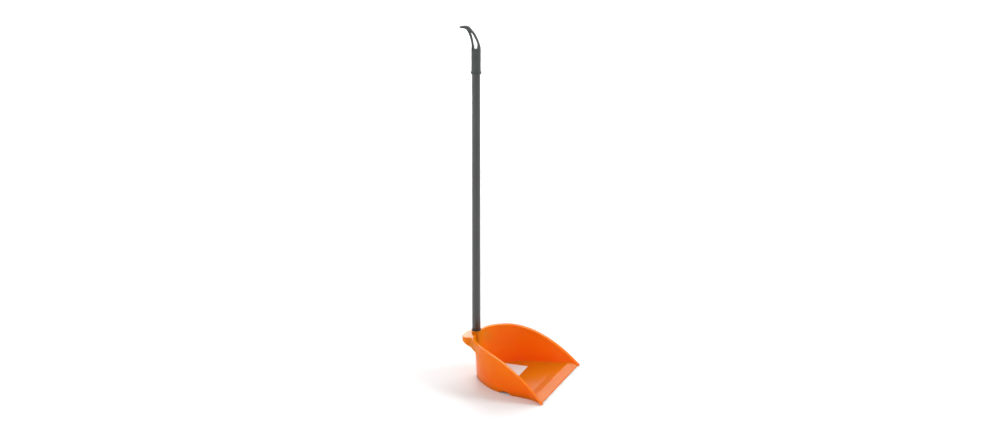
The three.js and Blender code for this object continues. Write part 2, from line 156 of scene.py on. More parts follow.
def combine(obj, other, operation):
    """obj joined with, or cut by, the other closed object, which is then removed."""
    modifier = obj.modifiers.new("combine", "BOOLEAN")
    modifier.object = other
    modifier.operation = operation
    modifier.solver = "MANIFOLD"
    bake_modifiers(obj)
    bpy.data.objects.remove(other)
    return obj


def keep_main_part(obj):
    """Removes the slivers and closed inner voids that the booleans leave apart from the largest part."""
    built = bmesh.new()
    built.from_mesh(obj.data)
    built.faces.index_update()
    parts, seen = [], set()
    for start in built.faces:
        if start.index in seen:
            continue
        seen.add(start.index)
        part = [start]
        for face in part:
            for edge in face.edges:
                for neighbour in edge.link_faces:
                    if neighbour.index not in seen:
                        seen.add(neighbour.index)
                        part.append(neighbour)
        parts.append(part)
    parts.sort(key=len)
    stray = [face for part in parts[:-1] for face in part]
    bmesh.ops.delete(built, geom=stray, context="FACES")
    built.to_mesh(obj.data)
    built.free()


def loops(rings):
    """Faces between closed rings of equally many points."""
    count = len(rings[0])
    faces = []
    for ring in range(len(rings) - 1):
        for i in range(count):
            j = (i + 1) % count
            low, high = ring * count, (ring + 1) * count
            faces.append((low + i, low + j, high + j, high + i))
    return faces


def mirrored_cap(start, count):
    """Faces across a ring whose point i mirrors point i from its end."""
    faces = []
    for i in range((count - 1) // 2):
        j = count - 1 - i
        if j - 1 > i + 1:
            faces.append((start + i, start + j, start + j - 1, start + i + 1))
        else:
            faces.append((start + i, start + j, start + i + 1))
    return faces


def lathe(name, profile, segments, y=0.0):
    """A closed or axis-to-axis profile of (radius, height) turned about an upright axis."""
    points, index = [], []
    for radius, height in profile:
        if radius == 0:
            index.append([len(points)] * segments)
            points.append((0, y, height))
            continue
        index.append(list(range(len(points), len(points) + segments)))
        for k in range(segments):
            angle = 2 * math.pi * k / segments
            points.append((radius * math.cos(angle), y + radius * math.sin(angle), height))
    faces = []
    for a, b in zip(index, index[1:]):
        for k in range(segments):
            j = (k + 1) % segments
            corners = dict.fromkeys((a[k], a[j], b[j], b[k]))
            if len(corners) > 2:
                faces.append(tuple(corners))
    return mesh_object(name, points, faces)


def arc(centre, radius, start, end, steps):
    """Points of a circle's arc, with angles in degrees."""
    angles = np.radians(np.linspace(start, end, steps + 1))
    return [(centre[0] + radius * math.cos(a), centre[1] + radius * math.sin(a)) for a in angles]


SPAN_STEPS = 60  # points worked out between each two given ones


def smooth_line(points, count):
    """count + 1 points, evenly spaced, on a centripetal Catmull-Rom curve through these points."""
    p = np.asarray(points, float)
    p = np.vstack([2 * p[0] - p[1], p, 2 * p[-1] - p[-2]])
    fine = []
    for k in range(1, len(p) - 2):
        p0, p1, p2, p3 = p[k - 1 : k + 3]
        d0, d1, d2 = (math.sqrt(np.linalg.norm(b - a)) for a, b in ((p0, p1), (p1, p2), (p2, p3)))
        t1 = ((p1 - p0) / d0 - (p2 - p0) / (d0 + d1) + (p2 - p1) / d1) * d1
        t2 = ((p2 - p1) / d1 - (p3 - p1) / (d1 + d2) + (p3 - p2) / d2) * d1
        t = np.linspace(0, 1, SPAN_STEPS, endpoint=False)[:, None]
        cubic = (2 * p1 - 2 * p2 + t1 + t2) * t**3
        fine.append(p1 + t1 * t + (3 * p2 - 3 * p1 - 2 * t1 - t2) * t**2 + cubic)
    fine = np.vstack([*fine, p[-2:-1]])
    along = np.concatenate([[0], np.cumsum(np.linalg.norm(np.diff(fine, axis=0), axis=1))])
    even = np.linspace(0, along[-1], count + 1)
    return np.column_stack([np.interp(even, along, fine[:, axis]) for axis in range(fine.shape[1])])


# ---- The pan's surfaces as functions ----
def outline(shares, rear):
    """The outline's points and outward directions, from the right corner of the mouth round to the left."""
    right = [(MOUTH_HALF, LIP_Y - MOUTH_AHEAD)]
    right += [(half * MOUTH_HALF, LIP_Y + back * rear) for half, back in shares]
    left = [(-x, y) for x, y in reversed(right)]
    points = smooth_line([*right, (0, LIP_Y + rear), *left], STATIONS)
    along = np.gradient(points, axis=0)
    outward = np.column_stack([along[:, 1], -along[:, 0]])
    return points, outward / np.linalg.norm(outward, axis=1)[:, None]


def rim_height(y):
    share = np.clip((LIP_Y + RIM_LEVEL_BACK - y) / RIM_LEVEL_BACK, 0, 1)
    return RIM_TIP + (RIM_TOP - RIM_TIP) * (1 - share**RIM_POWER)


FOOT, FOOT_OUT = outline(FOOT_SHARES, FOOT_REAR)
RIM, RIM_OUT = outline(RIM_SHARES, RIM_REAR)
RIM_Z = rim_height(RIM[:, 1])


def on_wall(offset, height):
    """A point at every station, `offset` outside the wall's outer face and at `height`."""
    offset = np.broadcast_to(offset, RIM_Z.shape)
    height = np.broadcast_to(height, RIM_Z.shape)
    share = np.clip(height / (RIM_Z - FLANGE_THICK / 2), 0, 1)[:, None]
    outward = FOOT_OUT + (RIM_OUT - FOOT_OUT) * share
    outward /= np.linalg.norm(outward, axis=1)[:, None]
    plan = FOOT + (RIM - FOOT) * share + outward * offset[:, None]
    level = (rim_height(plan[:, 1]) - RIM_Z) * np.clip(height / RIM_Z, 0, 1)
    return np.column_stack([plan, height + level])


def half_width(y, z, inset):
    """Half the width at y, at height z, to a face `inset` inside the wall's outer face."""
    side = on_wall(-inset, z)[: STATIONS // 2 + 1]
    return np.interp(y, side[:, 1], side[:, 0])


def blurred(line, back, reach):
    """The height of a line of (back, height) points, with its corners rounded over `reach`."""
    backs, heights = zip(*line)
    shifts = np.linspace(-reach, reach, 9)
    return np.mean([np.interp(np.asarray(back) + shift, backs, heights) for shift in shifts], axis=0)


CREST_ROUND = 1.4
RAMP_SLOPE = (CREST_TOP - LIP_RAISE - LIP_THICK) / CREST_BACK
UPPER_LINE = (
    (-CREST_BACK, LIP_RAISE + LIP_THICK - RAMP_SLOPE * CREST_BACK),
    (CREST_BACK, CREST_TOP),
    (VALLEY_BACK, FLOOR_TOP),
    (2 * RIM_REAR, FLOOR_TOP),
)
UNDER_LINE = (
    (-CREST_BACK, LIP_RAISE),
    (LIP_LAND, LIP_RAISE),
    (CREST_BACK, CREST_TOP - RAMP_THICK),
    (VALLEY_BACK, FLOOR_TOP - FLOOR_THICK),
    (2 * RIM_REAR, FLOOR_TOP - FLOOR_THICK),
)


def floor_height(y):
    return blurred(UPPER_LINE, np.asarray(y) - LIP_Y, CREST_ROUND)


def under_height(y):
    return blurred(UNDER_LINE, np.asarray(y) - LIP_Y, CREST_ROUND)


def arch_height(plan):
    """How far the wall's lower edge is raised over each point of a plan outline."""
    back = plan[:, 1] - LIP_Y
    along_side = np.abs(back - SIDE_ARCH_BACK) / SIDE_ARCH_HALF
    along_rear = np.abs(np.abs(plan[:, 0]) - REAR_ARCH_SIDE) / REAR_ARCH_HALF
    along_rear = np.where(back > FOOT_REAR * 0.8, along_rear, 1)
    share = np.minimum(np.clip(along_side, 0, 1), np.clip(along_rear, 0, 1))
    return ARCH_HEIGHT * np.sqrt(1 - share**2)


# ---- The pan's parts ----
FOOT_ROUND = 0.35
FLOOR_FILLET = 3.5
FLANGE_FILLET = 2.0
INNER_EDGE = 1.0
FLOOR_SINK = 1.0  # how deep the wall's inner foot reaches into the floor
SHARE_OF_ROOM = 0.4  # a rounding takes no more of a low wall than this


def pan_wall():
    """The wall with its flange, from the ground to the rim, with rounded edges and fillets."""
    bottom = arch_height(FOOT)
    y_inside = on_wall(-WALL, FLOOR_TOP)[:, 1]
    floor = np.where(y_inside < LIP_Y, LIP_RAISE / 2, floor_height(y_inside))
    room = RIM_Z - floor
    taper = np.clip((LIP_Y + FLANGE_END - RIM[:, 1]) / FLANGE_TAPER, 0, 1)
    width = FLANGE_LEAST + (FLANGE_WIDTH - FLANGE_LEAST) * taper
    edge = FLANGE_THICK / 2
    under = np.clip(0.3 * (RIM_Z - FLANGE_THICK - bottom), 0.05, FLANGE_FILLET)
    under *= np.clip(width / FLANGE_WIDTH, 0.3, 1)
    inner_edge = np.clip(SHARE_OF_ROOM * room, 0.1, INNER_EDGE)
    fillet = np.clip(SHARE_OF_ROOM * room, 0.1, FLOOR_FILLET)

    rows = []

    def add(offset, height):
        rows.append(on_wall(offset, height))

    def add_arc(offset, height, radius, start, end, steps):
        for angle in np.radians(np.linspace(start, end, steps + 1)):
            add(offset + radius * math.cos(angle), height + radius * math.sin(angle))

    add_arc(-FOOT_ROUND, bottom + FOOT_ROUND, FOOT_ROUND, -90, 0, 3)
    wall_end = RIM_Z - FLANGE_THICK - under
    for share in np.linspace(0, 1, 9)[1:-1]:
        add(0, bottom + FOOT_ROUND + (wall_end - bottom - FOOT_ROUND) * share)
    add_arc(under, wall_end, under, 180, 90, 4)
    add_arc(width - edge, RIM_Z - edge, edge, -90, 90, 8)
    add((width - edge) / 2, RIM_Z)
    add_arc(inner_edge - WALL, RIM_Z - inner_edge, inner_edge, 90, 180, 4)
    wall_top, wall_low = RIM_Z - inner_edge, floor + fillet
    for share in np.linspace(0, 1, 11)[1:-1]:
        add(-WALL, wall_top + (wall_low - wall_top) * share)
    add_arc(-WALL - fillet, floor + fillet, fillet, 0, -90, 6)
    sunk = floor - np.clip(SHARE_OF_ROOM * floor, 0.1, FLOOR_SINK)
    add(-WALL - fillet, sunk)
    add(-WALL, sunk)
    add(-WALL, np.minimum(sunk - 0.05, bottom + FOOT_ROUND))
    add(-WALL + FOOT_ROUND, bottom)

    rings = np.array(rows).transpose(1, 0, 2)
    count = len(rows)
    faces = loops(rings)
    last = STATIONS * count
    faces.append(tuple(range(count)))
    faces.append(tuple(range(last + count - 1, last - 1, -1)))
    return mesh_object("pan_shell", rings.reshape(-1, 3), faces)


def slab(name, profile, inset, columns=32):
    """A closed profile of (y, z) points, run across the pan as far as the wall allows."""
    points = []
    for y, z in profile:
        half = float(half_width(y, z, inset))
        points += [(half * (2 * k / columns - 1), y, z) for k in range(columns + 1)]
    count = columns + 1
    size = len(profile)
    faces = []
    for i in range(size):
        j = (i + 1) % size
        for k in range(columns):
            faces.append((i * count + k, i * count + k + 1, j * count + k + 1, j * count + k))
    faces.append([i * count for i in range(size)])
    faces.append([i * count + columns for i in range(size)])
    return mesh_object(name, points, faces)


# The lip's rounded edge, as (distance behind the lip, height over its underside), and its length.
LIP_NOSE = ((0.3, 0.15), (0.05, 0.45), (0.0, 0.75), (0.06, 1.05), (0.25, 1.3))
LIP_NOSE_LENGTH = 0.6


def pan_floor():
    rear = FOOT_REAR - WALL / 2
    share = np.concatenate([np.linspace(0, 0.22, 60), np.linspace(0.22, 1, 90)[1:]])
    back = LIP_NOSE_LENGTH + (rear - LIP_NOSE_LENGTH) * np.sin(share * math.pi / 2)
    y = LIP_Y + back
    top = list(zip(y, floor_height(y)))
    bottom = list(zip(y[::-1], under_height(y[::-1])))
    front = [(LIP_Y + ahead, LIP_RAISE + rise) for ahead, rise in LIP_NOSE]
    return slab("pan_floor", [*front, *top, *bottom], WALL / 2)


def block(name, low, high):
    points = [(x, y, z) for z in (low[2], high[2]) for y in (low[1], high[1]) for x in (low[0], high[0])]
    faces = [(0, 2, 3, 1), (4, 5, 7, 6), (0, 1, 5, 4), (2, 6, 7, 3), (0, 4, 6, 2), (1, 3, 7, 5)]
    return mesh_object(name, points, faces)


RIB_THICK = 2.0
RIB_BOTTOM = 1.5
RIB_FRONT_BACK = 16.0
LONG_RIB_SIDES = (-58.0, 0.0, 58.0)
CROSS_RIB_BACKS = (60.0, 148.0)
FOOT_RADIUS = 11.0
FOOT_EDGE = 0.8


def underside_parts():
    top = FLOOR_TOP - FLOOR_THICK / 2
    half = RIB_THICK / 2
    side = on_wall(-WALL / 2, RIB_BOTTOM)[: STATIONS // 2 + 1]
    parts = []
    for x in LONG_RIB_SIDES:
        rear = float(np.interp(-abs(x), -side[:, 0], side[:, 1]))
        low = (x - half, LIP_Y + RIB_FRONT_BACK, RIB_BOTTOM)
        parts.append(block("long_rib", low, (x + half, rear, top)))
    for back in CROSS_RIB_BACKS:
        y = LIP_Y + back
        reach = float(half_width(y + half, RIB_BOTTOM, WALL / 2))
        parts.append(block("cross_rib", (-reach, y - half, RIB_BOTTOM), (reach, y + half, top)))
    edge = arc((FOOT_RADIUS - FOOT_EDGE, FOOT_EDGE), FOOT_EDGE, -90, 0, 4)
    profile = [(0, 0), *edge, (FOOT_RADIUS, top), (0, top)]
    parts.append(lathe("foot", profile, 48))
    return parts


def housing_plan(shrink):
    """The housing's outline, all smaller by `shrink`, from its right front corner round to the left."""
    half = HOUSING_HALF - shrink
    rear = LIP_Y + HOUSING_REAR - shrink
    corner = HOUSING_CORNER - shrink
    start = np.array((HOUSING_FLARE_HALF - shrink, LIP_Y + HOUSING_FLARE_BACK))
    bend = np.array((half, AXIS_Y))
    end = np.array((half, rear - corner))
    share = np.linspace(0, 1, 15)[:-1, None]
    sweep = start * (1 - share) ** 2 + bend * 2 * share * (1 - share) + end * share**2
    round_end = np.array(arc((half - corner, rear - corner), corner, 0, 90, 14))
    right = np.vstack([sweep, round_end])
    return np.vstack([right, right[::-1] * (-1, 1)])


def housing():
    def sloped(plan, front, rear):
        share = (plan[:, 1] - LIP_Y - FOOT_REAR) / (HOUSING_REAR - FOOT_REAR)
        return front + (rear - front) * share

    def top(plan):
        return np.minimum(sloped(plan, RIM_TOP, RIM_TOP - HOUSING_DROP), RIM_TOP - 0.05)

    def skirt(plan):
        return sloped(plan, RIM_TOP - HOUSING_SKIRT_FRONT, RIM_TOP - HOUSING_SKIRT_REAR)

    rings = []
    inner = housing_plan(WALL)
    outer = housing_plan(0)
    rings.append(np.column_stack([inner, top(inner) - WALL]))
    rings.append(np.column_stack([inner, skirt(inner) + 0.3]))
    edge = housing_plan(WALL / 2)
    rings.append(np.column_stack([edge, skirt(edge)]))
    rings.append(np.column_stack([outer, skirt(outer) + 0.4]))
    for angle in np.radians(np.linspace(0, 90, 6)):
        plan = housing_plan(HOUSING_ROUND * (1 - math.cos(angle)))
        rings.append(np.column_stack([plan, top(outer) - HOUSING_ROUND * (1 - math.sin(angle))]))
    count = len(inner)
    faces = loops(rings) + mirrored_cap(0, count) + mirrored_cap((len(rings) - 1) * count, count)
    return mesh_object("housing", np.vstack(rings), faces)


TRAY_SPACE_LENGTH = 60.0
TRAY_SPACE_BELOW = 2.0
TRAY_SPACE_ABOVE = 40.0


def tray_space():
    """What the tray takes out of the housing: the space inside the middle of the wall's rear half."""
    middle = -WALL / 2
    rear = RIM[:, 1] > AXIS_Y - TRAY_SPACE_LENGTH
    rings = [
        on_wall(middle, 0)[rear] - (0, 0, TRAY_SPACE_BELOW),
        on_wall(middle, RIM_Z)[rear],
        on_wall(middle, RIM_Z)[rear] + (0, 0, TRAY_SPACE_ABOVE),
    ]
    count = len(rings[0])
    faces = loops(rings) + mirrored_cap(0, count) + mirrored_cap(2 * count, count)
    return mesh_object("tray_space", np.vstack(rings), faces)


BORE_FLOOR = SLEEVE_TOP - BORE_DEPTH
SLEEVE_FLOOR_THICK = 1.8
SLEEVE_OUTER_EDGE = 0.7
SLEEVE_INNER_EDGE = 0.4
SLEEVE_SEGMENTS = 64


def sleeve():
    foot = BORE_FLOOR - SLEEVE_FLOOR_THICK
    outer, inner = SLEEVE_OUTER_EDGE, SLEEVE_INNER_EDGE
    profile = [(0, foot - SLEEVE_RADIUS / 2), (SLEEVE_RADIUS / 2, foot - SLEEVE_RADIUS / 2)]
    profile += [(SLEEVE_RADIUS, foot), *arc((SLEEVE_RADIUS - outer, SLEEVE_TOP - outer), outer, 0, 90, 4)]
    profile += [*arc((BORE_RADIUS + inner, SLEEVE_TOP - inner), inner, 90, 180, 3)]
    profile += [(BORE_RADIUS, BORE_FLOOR), (0, BORE_FLOOR)]
    return lathe("sleeve", profile, SLEEVE_SEGMENTS, AXIS_Y)


PAN_SMOOTH_ANGLE = 35


def pan():
    body = combine(pan_wall(), pan_floor(), "UNION")
    for part in underside_parts():
        combine(body, part, "UNION")
    rear = combine(housing(), tray_space(), "DIFFERENCE")
    combine(body, rear, "UNION")
    middle = (SLEEVE_RADIUS + BORE_RADIUS) / 2
    low, high = BORE_FLOOR - 1, SLEEVE_TOP + 5
    hole = [(0, low), (middle, low), (middle, high), (0, high)]
    combine(body, lathe("hole", hole, SLEEVE_SEGMENTS, AXIS_Y), "DIFFERENCE")
    combine(body, sleeve(), "UNION")
    keep_main_part(body)
    shade(body, PAN_SMOOTH_ANGLE)
    return body


STRIP_THICK = 0.8
STRIP_SIDE_GAP = 0.5
STRIP_NOSE = 0.4


def soft_strip():
    slope = (CREST_TOP - RAMP_THICK - LIP_RAISE) / (CREST_BACK - LIP_LAND)
    front = STRIP_LOW[1]
    top = LIP_RAISE - 0.3
    tongue = STRIP_HIGH[1]
    rise = slope * (tongue - LIP_Y - LIP_LAND)
    bend = LIP_Y + LIP_LAND
    profile = [(bend, 0), (tongue, rise + top - STRIP_THICK), (tongue, rise + top), (bend, top)]
    profile += [(LIP_Y - 1, top), (front + 2.5, top)]
    profile += arc((front + STRIP_NOSE, STRIP_NOSE), STRIP_NOSE, 90, 270, 6)
    return slab("soft_lip_blade", profile, WALL + STRIP_SIDE_GAP)


LABEL_CORNER = 2.5


def label():
    half_x = (LABEL_HIGH[0] - LABEL_LOW[0]) / 2
    low_y, high_y = LABEL_LOW[1], LABEL_HIGH[1]
    corner = LABEL_CORNER
    ring = []
    for x, y, start in (
        (half_x - corner, high_y - corner, 0),
        (-half_x + corner, high_y - corner, 90),
        (-half_x + corner, low_y + corner, 180),
        (half_x - corner, low_y + corner, 270),
    ):
        ring += arc((x, y), corner, start, start + 90, 6)
    ring = np.array(ring)
    low, high = LABEL_LOW[2], LABEL_HIGH[2]
    points = np.vstack([np.column_stack([ring, np.full(len(ring), z)]) for z in (low, high)])
    count = len(ring)
    faces = [*loops([ring, ring]), tuple(range(count)), tuple(range(count, 2 * count))]
    return mesh_object("paper_label", points, faces)


# ---- Handle ----
TUBE_RADIUS = (TUBE_HIGH[0] - TUBE_LOW[0]) / 2
TUBE_WALL = 0.6
COLLAR_HEIGHT = 4.0
SHANK_LENGTH = 36.0
SHANK_RADIUS = TUBE_RADIUS - 2.6
FERRULE_EDGE = 0.5
PLUG_GAP = 0.3
THREAD_RISE = 1.4
THREAD_HALF_WIDTH = 1.3
THREAD_PITCH = 5.0
THREAD_SHORTER = 8.5  # than the shank
THREAD_STEPS = 40  # in each turn
THREAD_SIDES = 10
TURNED_SEGMENTS = 96


def tube():
    inner = TUBE_RADIUS - TUBE_WALL
    low, high = TUBE_LOW[2], TUBE_HIGH[2]
    lip = TUBE_WALL / 2
    rows = np.linspace(low + lip, high - lip, 24)
    profile = [*arc((inner + lip, low + lip), lip, 180, 360, 6)]
    profile += [(TUBE_RADIUS, z) for z in rows[1:-1]]
    profile += [*arc((inner + lip, high - lip), lip, 0, 180, 6)]
    profile += [(inner, z) for z in rows[::-1][1:]]
    return lathe("painted_tube", profile, TURNED_SEGMENTS, AXIS_Y)


def ferrule():
    bottom = FERRULE_LOW[2]
    collar = bottom + SHANK_LENGTH
    collar_radius = (FERRULE_HIGH[0] - FERRULE_LOW[0]) / 2
    plug = TUBE_RADIUS - TUBE_WALL - PLUG_GAP
    edge = FERRULE_EDGE
    profile = [(0, bottom), (SHANK_RADIUS - 1, bottom), (SHANK_RADIUS, bottom + 1), (SHANK_RADIUS, collar)]
    profile += [*arc((collar_radius - edge, collar + edge), edge, -90, 0, 4)]
    profile += [*arc((collar_radius - edge, collar + COLLAR_HEIGHT - edge), edge, 0, 90, 4)]
    profile += [(plug, collar + COLLAR_HEIGHT), *arc((plug - 1, FERRULE_HIGH[2] - 1), 1, 0, 90, 4)]
    profile += [(0, FERRULE_HIGH[2])]
    body = lathe("ferrule", profile, TURNED_SEGMENTS, AXIS_Y)
    return combine(body, thread(bottom + 2 * THREAD_RISE), "UNION")


def thread(start):
    """A rounded ridge wound round the shank, narrowing to nothing at both ends."""
    turns = (SHANK_LENGTH - THREAD_SHORTER) / THREAD_PITCH
    steps = int(turns * THREAD_STEPS)
    around = THREAD_SIDES
    points = []
    for k in range(steps + 1):
        share = k / steps
        fade = min(1, 12 * share, 12 * (1 - share))
        angle = 2 * math.pi * turns * share
        out, up = THREAD_RISE * max(fade, 0.2), THREAD_HALF_WIDTH
        for j in range(around):
            turn = 2 * math.pi * j / around
            radius = SHANK_RADIUS - 0.1 + out * math.cos(turn)
            z = start + THREAD_PITCH * turns * share + up * math.sin(turn)
            points.append((radius * math.cos(angle), AXIS_Y + radius * math.sin(angle), z))
    rings = [points[k * around : (k + 1) * around] for k in range(steps + 1)]
    last = steps * around
    faces = [*loops(rings), tuple(range(around)), tuple(range(last, last + around))]
    return mesh_object("thread", points, faces)


# ---- Hanging cap ----
CAP_RADIUS = TUBE_RADIUS + 1.2
CAP_TOP = TUBE_HIGH[2] + 6.0
CAP_FLANGE_HEIGHT = 4.5
CAP_FLANGE_WIDTH = 1.6
CAP_FLANGE_EDGE = 0.6
CAP_SEAT_GAP = 0.3
DOME_FOOT = CAP_TOP - 2.0
DOME_RISE = 16.0
HOOK_HALF = 4.0
HOOK_LEG = 3.6
HOOK_EDGE = 1.3
OPENING_EDGE = 0.5
OPENING_HALF = 30.0  # past both sides of the hook
CAP_VOXEL = 0.42
CAP_SMOOTH_ANGLE = 60

# The hook in side view, as (distance behind the axis, height over the cap's round part): its rear edge up to
# the tip, its front edge back down, and the opening between its two legs.
HOOK_REAR = ((CAP_RADIUS - 1.6, -4), (CAP_RADIUS - 1, 6), (11.8, 19.5), (18.5, 39), (25, 47), (40, 47.5))
HOOK_FRONT = (
    (40, 51.5),
    (27, 54.5),
    (18, 53.5),
    (11, 46.5),
    (3.8, 38.3),
    (-5.9, 19.6),
    (-CAP_RADIUS + 1.2, 6),
    (-CAP_RADIUS + 1.6, -4),
)
OPENING_REAR = ((6.8, -3), (CAP_RADIUS - 1 - HOOK_LEG, 9.5), (14.3 - HOOK_LEG, 29.5), (16.5, 44.5))
OPENING_FRONT = (
    (4 + HOOK_LEG, 38),
    (-1.2 + HOOK_LEG, 29),
    (-5.9 + HOOK_LEG, 19.6),
    (-8.4 + HOOK_LEG, 10),
    (-5.4, 4.5),
)


def side_plate(name, rear, front, half, edge):
    """A plate across the handle, with two smooth edges in side view and rounded edges."""
    line = np.vstack([smooth_line(rear, 24), smooth_line(front, 32)]) + (AXIS_Y, CAP_TOP)
    along = np.roll(line, -1, axis=0) - np.roll(line, 1, axis=0)
    inward = np.column_stack([-along[:, 1], along[:, 0]])
    inward /= np.linalg.norm(inward, axis=1)[:, None]
    rings = []
    for way, angles in ((-1, np.radians((90, 60, 30, 0))), (1, np.radians((0, 30, 60, 90)))):
        for angle in angles:
            plan = line + inward * edge * (1 - math.cos(angle))
            x = way * (half - edge + edge * math.sin(angle))
            rings.append(np.column_stack([np.full(len(line), x), plan]))
    count = len(line)
    last = (len(rings) - 1) * count
    faces = [*loops(rings), tuple(range(count)), tuple(range(last, last + count))]
    return mesh_object(name, np.vstack(rings), faces)


def cap():
    low = CAP_LOW[2]
    flange = CAP_RADIUS + CAP_FLANGE_WIDTH
    edge = CAP_FLANGE_EDGE
    profile = [(0, low), *arc((flange - edge, low + edge), edge, -90, 0, 3)]
    profile += [*arc((flange - edge, low + CAP_FLANGE_HEIGHT - edge), edge, 0, 80, 3)]
    profile += [(CAP_RADIUS + 0.15, low + CAP_FLANGE_HEIGHT + 0.3), (CAP_RADIUS, low + CAP_FLANGE_HEIGHT + 1)]
    for share in np.linspace(0, 1, 17)[:-1]:
        profile.append((CAP_RADIUS * math.sqrt(1 - share**3), DOME_FOOT + DOME_RISE * share))
    profile.append((0, DOME_FOOT + DOME_RISE))
    body = lathe("cap", profile, TURNED_SEGMENTS, AXIS_Y)
    combine(body, side_plate("hook", HOOK_REAR, HOOK_FRONT, HOOK_HALF, HOOK_EDGE), "UNION")
    opening = side_plate("opening", OPENING_REAR, OPENING_FRONT, OPENING_HALF, OPENING_EDGE)
    combine(body, opening, "DIFFERENCE")
    radius, top = TUBE_RADIUS + CAP_SEAT_GAP, TUBE_HIGH[2] + CAP_SEAT_GAP
    seat = [(0, low - 5), (radius, low - 5), (radius, top), (0, top)]
    combine(body, lathe("seat", seat, TURNED_SEGMENTS, AXIS_Y), "DIFFERENCE")
    remesh = body.modifiers.new("remesh", "REMESH")
    remesh.mode = "VOXEL"
    remesh.voxel_size = CAP_VOXEL * MM
    soften = body.modifiers.new("soften", "SMOOTH")
    soften.factor = 0.5
    soften.iterations = 4
    bake_modifiers(body)
    shade(body, CAP_SMOOTH_ANGLE)
    return body


# ---- Materials ----
def new_material(name):
    material = bpy.data.materials.new(name)
    material.use_nodes = True
    tree = material.node_tree
    shader = tree.nodes["Principled BSDF"]
    coordinates = tree.nodes.new("ShaderNodeTexCoord")
    return material, tree, shader, coordinates.outputs["Object"]


def noise(tree, vector, scale, detail=3.0, stretch=None):
    if stretch:
        mapping = tree.nodes.new("ShaderNodeMapping")
        mapping.inputs["Scale"].default_value = stretch
        tree.links.new(vector, mapping.inputs["Vector"])
        vector = mapping.outputs["Vector"]
    node = tree.nodes.new("ShaderNodeTexNoise")
    node.inputs["Scale"].default_value = scale
    node.inputs["Detail"].default_value = detail
    tree.links.new(vector, node.inputs["Vector"])
    return node.outputs["Fac"]


def ramp(tree, factor, stops):
    node = tree.nodes.new("ShaderNodeValToRGB")
    elements = node.color_ramp.elements
    while len(elements) < len(stops):
        elements.new(0.5)
    for element, (position, colour) in zip(elements, stops):
        element.position = position
        element.color = (*colour, 1)
    tree.links.new(factor, node.inputs["Fac"])
    return node.outputs["Color"]


def grey_range(tree, factor, low, high, start=0.35, end=0.65):
    node = tree.nodes.new("ShaderNodeMapRange")
    for key, value in (("From Min", start), ("From Max", end), ("To Min", low), ("To Max", high)):
        node.inputs[key].default_value = value
    tree.links.new(factor, node.inputs["Value"])
    return node.outputs["Result"]


def blend_colours(tree, factor, first, second):
    """The first colour, from a socket, with the second one, which is plain, over it as far as the factor."""
    node = tree.nodes.new("ShaderNodeMix")
    node.data_type = "RGBA"
    factor_in, first_in, second_in = node.inputs[0], node.inputs[6], node.inputs[7]
    tree.links.new(factor, factor_in)
    tree.links.new(first, first_in)
    second_in.default_value = second
    return node.outputs[2]


def bump(tree, shader, heights):
    """Bumps on top of one another, each (height, strength, distance in metres)."""
    normal = None
    for height, strength, distance in heights:
        node = tree.nodes.new("ShaderNodeBump")
        node.inputs["Strength"].default_value = strength
        node.inputs["Distance"].default_value = distance
        tree.links.new(height, node.inputs["Height"])
        if normal is not None:
            tree.links.new(normal, node.inputs["Normal"])
        normal = node.outputs["Normal"]
    tree.links.new(normal, shader.inputs["Normal"])


def orange_plastic():
    """Glossy, slightly translucent polypropylene with flow marks and scuffs, and painted shade that turns it
    redder near the floor.
    """
    material, tree, shader, where = new_material("orange_polypropylene")
    flow = noise(tree, where, 14, 2)
    fine = noise(tree, where, 1100, 2)
    waves = noise(tree, where, 55, 2)
    scuffs = noise(tree, where, 60, 4, (12, 1, 3))
    colour = ramp(
        tree,
        flow,
        [(0.25, (0.72, 0.178, 0.003)), (0.5, (0.75, 0.198, 0.004)), (0.75, (0.78, 0.218, 0.005))],
    )
    height = tree.nodes.new("ShaderNodeSeparateXYZ")
    tree.links.new(where, height.inputs["Vector"])
    # Painted shade: low on the pan the colour is blended redder and darker, in place of occlusion and light
    # coming through the plastic.
    painted_shade_near_floor = grey_range(tree, height.outputs["Z"], 0.4, 0.0, 0.012, 0.07)
    colour = blend_colours(tree, painted_shade_near_floor, colour, (0.76, 0.085, 0.003, 1))
    worn = grey_range(tree, scuffs, 0.0, 0.16, 0.62, 0.75)
    colour = blend_colours(tree, worn, colour, (0.82, 0.27, 0.03, 1))
    tree.links.new(colour, shader.inputs["Base Color"])
    tree.links.new(grey_range(tree, scuffs, 0.17, 0.3, 0.45, 0.75), shader.inputs["Roughness"])
    shader.inputs["IOR"].default_value = 1.45
    shader.inputs["Specular IOR Level"].default_value = 0.1
    shader.inputs["Subsurface Weight"].default_value = 0.85
    shader.inputs["Subsurface Radius"].default_value = (1.0, 0.4, 0.02)
    shader.inputs["Subsurface Scale"].default_value = 0.008
    bump(tree, shader, [(fine, 0.12, 0.00015), (waves, 0.15, 0.0006)])
    return material


def painted_steel():
    material, tree, shader, where = new_material("grey_painted_steel")
    drift = noise(tree, where, 9, 3)
    peel = noise(tree, where, 420, 2)
    streaks = noise(tree, where, 240, 4, (1, 1, 0.04))
    colour = ramp(tree, drift, [(0.3, (0.036, 0.037, 0.038)), (0.7, (0.05, 0.051, 0.052))])
    marks = grey_range(tree, streaks, 0.0, 0.35, 0.62, 0.8)
    colour = blend_colours(tree, marks, colour, (0.12, 0.12, 0.123, 1))
    tree.links.new(colour, shader.inputs["Base Color"])
    tree.links.new(grey_range(tree, streaks, 0.34, 0.46), shader.inputs["Roughness"])
    shader.inputs["Metallic"].default_value = 0.55
    shader.inputs["Coat Weight"].default_value = 1.0
    shader.inputs["Coat Roughness"].default_value = 0.18
    bump(tree, shader, [(peel, 0.1, 0.0002)])
    return material


PLASTIC_GRAIN = 1500


